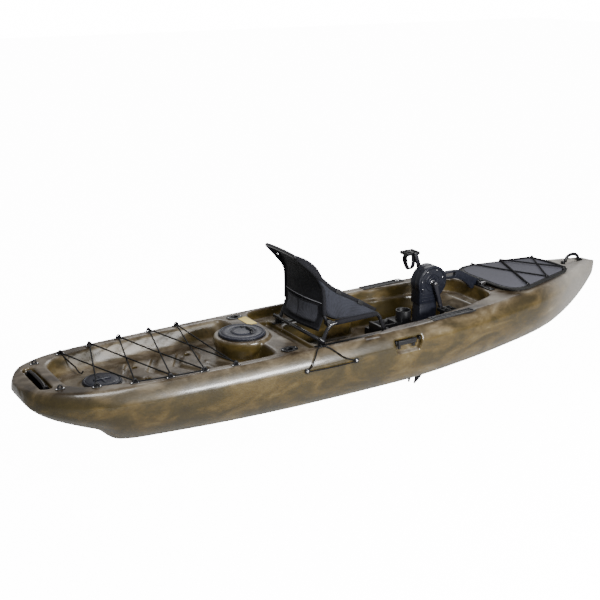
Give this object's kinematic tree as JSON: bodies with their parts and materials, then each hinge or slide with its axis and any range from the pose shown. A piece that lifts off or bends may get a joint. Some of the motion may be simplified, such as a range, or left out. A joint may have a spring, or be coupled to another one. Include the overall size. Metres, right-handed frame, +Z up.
{
  "type": "pedal-drive fishing kayak",
  "caption": "Sit-on-top fishing kayak with a framed seat, open tank well, hinged bow hatch, carry handles and a lift-out pedal drive turning a propeller.",
  "frame": {"origin": "on the flat of the bottom, on the centreline, amidships", "axes": "+X towards the bow, +Y to port, +Z up"},
  "size_m": [3.976, 0.876, 1.0084],
  "materials": {
    "hull_plastic": "rotomoulded polyethylene, marbled in pale grey-beige, tan, brown and olive",
    "black_plastic": "moulded, fine grain",
    "slate_plastic": "moulded, satin",
    "hatch_grey": "moulded, satin blue-grey",
    "hatch_black": "moulded, satin",
    "eva_pad": "closed-cell foam, fine pebble texture",
    "rubber_seal": "smooth",
    "cord": "braided elastic cord",
    "seat_fabric": "woven mesh fabric",
    "pocket_mesh": "open mesh",
    "webbing": "woven webbing",
    "seat_tube": "satin powder coat",
    "steel": "fine brushed",
    "crank_metal": "satin",
    "leg_aluminium": "satin anodised"
  },
  "bodies": {
    "boat": {"hull": "hull_plastic", "center_hatch_ring": "black_plastic", "stern_hatch_ring": "black_plastic", "bow_hatch_coaming": "black_plastic", "bow_hinge_base": "black_plastic", "bow_hinge_pin": "steel", "tank_pad_eyes": "black_plastic", "tank_bungee": "cord", "rod_holder_left": "black_plastic", "rod_holder_right": "black_plastic", "gear_track_left": "black_plastic", "gear_track_right": "black_plastic", "deck_screws": "steel", "center_console": "black_plastic", "drive_dock": "black_plastic", "paddle_keeper_anchors": "black_plastic", "paddle_keeper_bungee": "cord", "side_handle_brackets": "black_plastic", "bow_handle_mounts": "black_plastic", "stern_handle_mounts": "black_plastic", "seat_runners": "black_plastic"},
    "bow_lid": {"bow_hatch_lid": "black_plastic", "bow_hatch_pad": "eva_pad", "bow_lid_pad_eyes": "black_plastic", "bow_lid_bungee": "cord"},
    "center_seal": {"center_hatch_seal": "rubber_seal"},
    "center_lid": {"center_hatch_lid": "hatch_grey"},
    "stern_seal": {"stern_hatch_seal": "rubber_seal"},
    "stern_lid": {"stern_hatch_lid": "hatch_black"},
    "left_grip": {"side_handle_left": "black_plastic"},
    "right_grip": {"side_handle_right": "black_plastic"},
    "bow_grip": {"bow_handle": "black_plastic"},
    "stern_grip": {"stern_handle": "black_plastic"},
    "seat_base": {"seat_base_frame": "seat_tube", "seat_pan": "seat_fabric", "seat_pivot_pins": "steel"},
    "seat_back": {"seat_back_frame": "seat_tube", "seat_back_fabric": "seat_fabric", "seat_back_pocket": "pocket_mesh", "seat_side_straps": "webbing"},
    "drive": {"drive_housing_left": "slate_plastic", "drive_housing_right": "slate_plastic", "drive_column": "slate_plastic", "drive_arm": "slate_plastic", "drive_leg": "leg_aluminium", "gearcase": "slate_plastic", "skeg": "black_plastic", "drive_bearings": "steel"},
    "latch": {"drive_latch": "steel"},
    "crank": {"crank_axle": "steel", "crank_gear": "steel", "crank_arm_left": "crank_metal", "crank_arm_right": "crank_metal"},
    "left_pedal": {"pedal_left": "black_plastic"},
    "right_pedal": {"pedal_right": "black_plastic"},
    "shaft": {"drive_shaft": "steel", "upper_pinion": "steel", "lower_gear": "steel"},
    "prop": {"prop_shaft": "steel", "propeller": "black_plastic"}
  },
  "joints": [
    {"name": "bow_lid_hinge", "type": "hinge", "parent": "boat", "child": "bow_lid", "pos_m": [1.61311, 0, 0.40959], "axis": [0, 1, 0], "range_deg": [0, 95]},
    {"name": "center_lid_lift", "type": "slide", "parent": "boat", "child": "center_seal", "axis": [0, 0, 1], "range_m": [0, 0.06]},
    {"name": "center_lid_turn", "type": "hinge", "parent": "center_seal", "child": "center_lid", "pos_m": [-0.725, 0, 0.37], "axis": [0, 0, 1], "range_deg": [0, 45]},
    {"name": "stern_lid_lift", "type": "slide", "parent": "boat", "child": "stern_seal", "axis": [0, 0, 1], "range_m": [0, 0.06]},
    {"name": "stern_lid_turn", "type": "hinge", "parent": "stern_seal", "child": "stern_lid", "pos_m": [-1.546, 0, 0.26], "axis": [0, 0, 1], "range_deg": [0, 45]},
    {"name": "left_grip_hinge", "type": "hinge", "parent": "boat", "child": "left_grip", "pos_m": [0.105, 0.412, 0.29], "axis": [1, 0, 0], "range_deg": [0, 80]},
    {"name": "right_grip_hinge", "type": "hinge", "parent": "boat", "child": "right_grip", "pos_m": [0.105, -0.412, 0.29], "axis": [-1, 0, 0], "range_deg": [0, 80]},
    {"name": "bow_grip_hinge", "type": "hinge", "parent": "boat", "child": "bow_grip", "pos_m": [1.776, 0, 0.40294], "axis": [1, 0, 0], "range_deg": [-60, 60]},
    {"name": "stern_grip_hinge", "type": "hinge", "parent": "boat", "child": "stern_grip", "pos_m": [-1.884, 0, 0.332], "axis": [0, 1, 0], "range_deg": [-85, 85]},
    {"name": "seat_slide", "type": "slide", "parent": "boat", "child": "seat_base", "axis": [1, 0, 0], "range_m": [-0.02, 0.04]},
    {"name": "seat_back_hinge", "type": "hinge", "parent": "seat_base", "child": "seat_back", "pos_m": [-0.3, 0, 0.404], "axis": [0, 1, 0], "range_deg": [0, 65], "deforming": ["seat_side_straps"]},
    {"name": "drive_lift", "type": "slide", "parent": "boat", "child": "drive", "axis": [0, 0, 1], "range_m": [0, 0.5]},
    {"name": "latch_turn", "type": "hinge", "parent": "drive", "child": "latch", "pos_m": [0.948, 0, 0.39507], "axis": [0, 1, 0], "range_deg": [-90, 0]},
    {"name": "crank_spin", "type": "hinge", "parent": "drive", "child": "crank", "pos_m": [0.568, 0, 0.455], "axis": [0, 1, 0], "continuous": true},
    {"name": "left_pedal_spin", "type": "hinge", "parent": "crank", "child": "left_pedal", "pos_m": [0.51701, 0.126, 0.61192], "axis": [0, 1, 0], "continuous": true},
    {"name": "right_pedal_spin", "type": "hinge", "parent": "crank", "child": "right_pedal", "pos_m": [0.61899, -0.126, 0.29808], "axis": [0, 1, 0], "continuous": true},
    {"name": "shaft_spin", "type": "hinge", "parent": "drive", "child": "shaft", "pos_m": [0.568, 0, 0.1], "axis": [0, 0, 1], "continuous": true},
    {"name": "prop_spin", "type": "hinge", "parent": "drive", "child": "prop", "pos_m": [0.446, 0, -0.078], "axis": [1, 0, 0], "continuous": true}
  ],
  "couplings": [
    {"joint": "shaft_spin", "follows": "crank_spin", "ratio": 4},
    {"joint": "prop_spin", "follows": "crank_spin", "ratio": 8}
  ]
}
